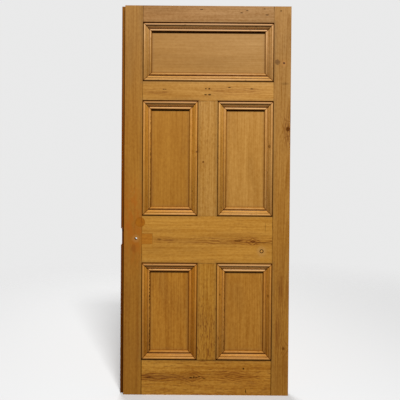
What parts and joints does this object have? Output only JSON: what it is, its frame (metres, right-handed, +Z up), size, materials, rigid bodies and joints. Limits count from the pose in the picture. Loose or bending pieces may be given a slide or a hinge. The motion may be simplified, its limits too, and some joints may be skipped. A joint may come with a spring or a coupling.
{
  "type": "panelled front door leaf",
  "caption": "Reclaimed waxed-pine front door leaf with loose panels, mitred mouldings and a strip on the lock edge.",
  "frame": {"origin": "middle of the bottom edge, halfway through the thickness", "axes": "+Z up the leaf, +X towards the hinge edge, -Y out of the moulded front face"},
  "size_m": [0.883, 0.047, 2.032],
  "materials": {
    "frame_wood": "old waxed pine",
    "panel_wood": "old waxed pine",
    "moulding_wood": "old waxed pine, worn pale",
    "strip_wood": "dark waxed pine",
    "wedge_wood": "end grain, darkened",
    "repair_wood": "darker waxed softwood",
    "filler_wood": "greyed filler"
  },
  "bodies": {
    "root": {"lock_stile": "frame_wood", "hinge_stile": "frame_wood", "top_rail": "frame_wood", "frieze_rail": "frame_wood", "lock_rail": "frame_wood", "bottom_rail": "frame_wood", "upper_muntin": "frame_wood", "lower_muntin": "frame_wood", "lock_edge_strip": "strip_wood", "lock_edge_wedges": "wedge_wood", "hinge_edge_wedges": "wedge_wood", "handle_hole_plug": "repair_wood", "lock_patch": "repair_wood", "filler_plugs": "filler_wood", "top_panel": "panel_wood", "top_moulding_bottom": "moulding_wood", "top_moulding_right": "moulding_wood", "top_moulding_top": "moulding_wood", "top_moulding_left": "moulding_wood", "upper_left_panel": "panel_wood", "upper_left_moulding_bottom": "moulding_wood", "upper_left_moulding_right": "moulding_wood", "upper_left_moulding_top": "moulding_wood", "upper_left_moulding_left": "moulding_wood", "upper_right_panel": "panel_wood", "upper_right_moulding_bottom": "moulding_wood", "upper_right_moulding_right": "moulding_wood", "upper_right_moulding_top": "moulding_wood", "upper_right_moulding_left": "moulding_wood", "lower_left_panel": "panel_wood", "lower_left_moulding_bottom": "moulding_wood", "lower_left_moulding_right": "moulding_wood", "lower_left_moulding_top": "moulding_wood", "lower_left_moulding_left": "moulding_wood", "lower_right_panel": "panel_wood", "lower_right_moulding_bottom": "moulding_wood", "lower_right_moulding_right": "moulding_wood", "lower_right_moulding_top": "moulding_wood", "lower_right_moulding_left": "moulding_wood"}
  },
  "joints": []
}
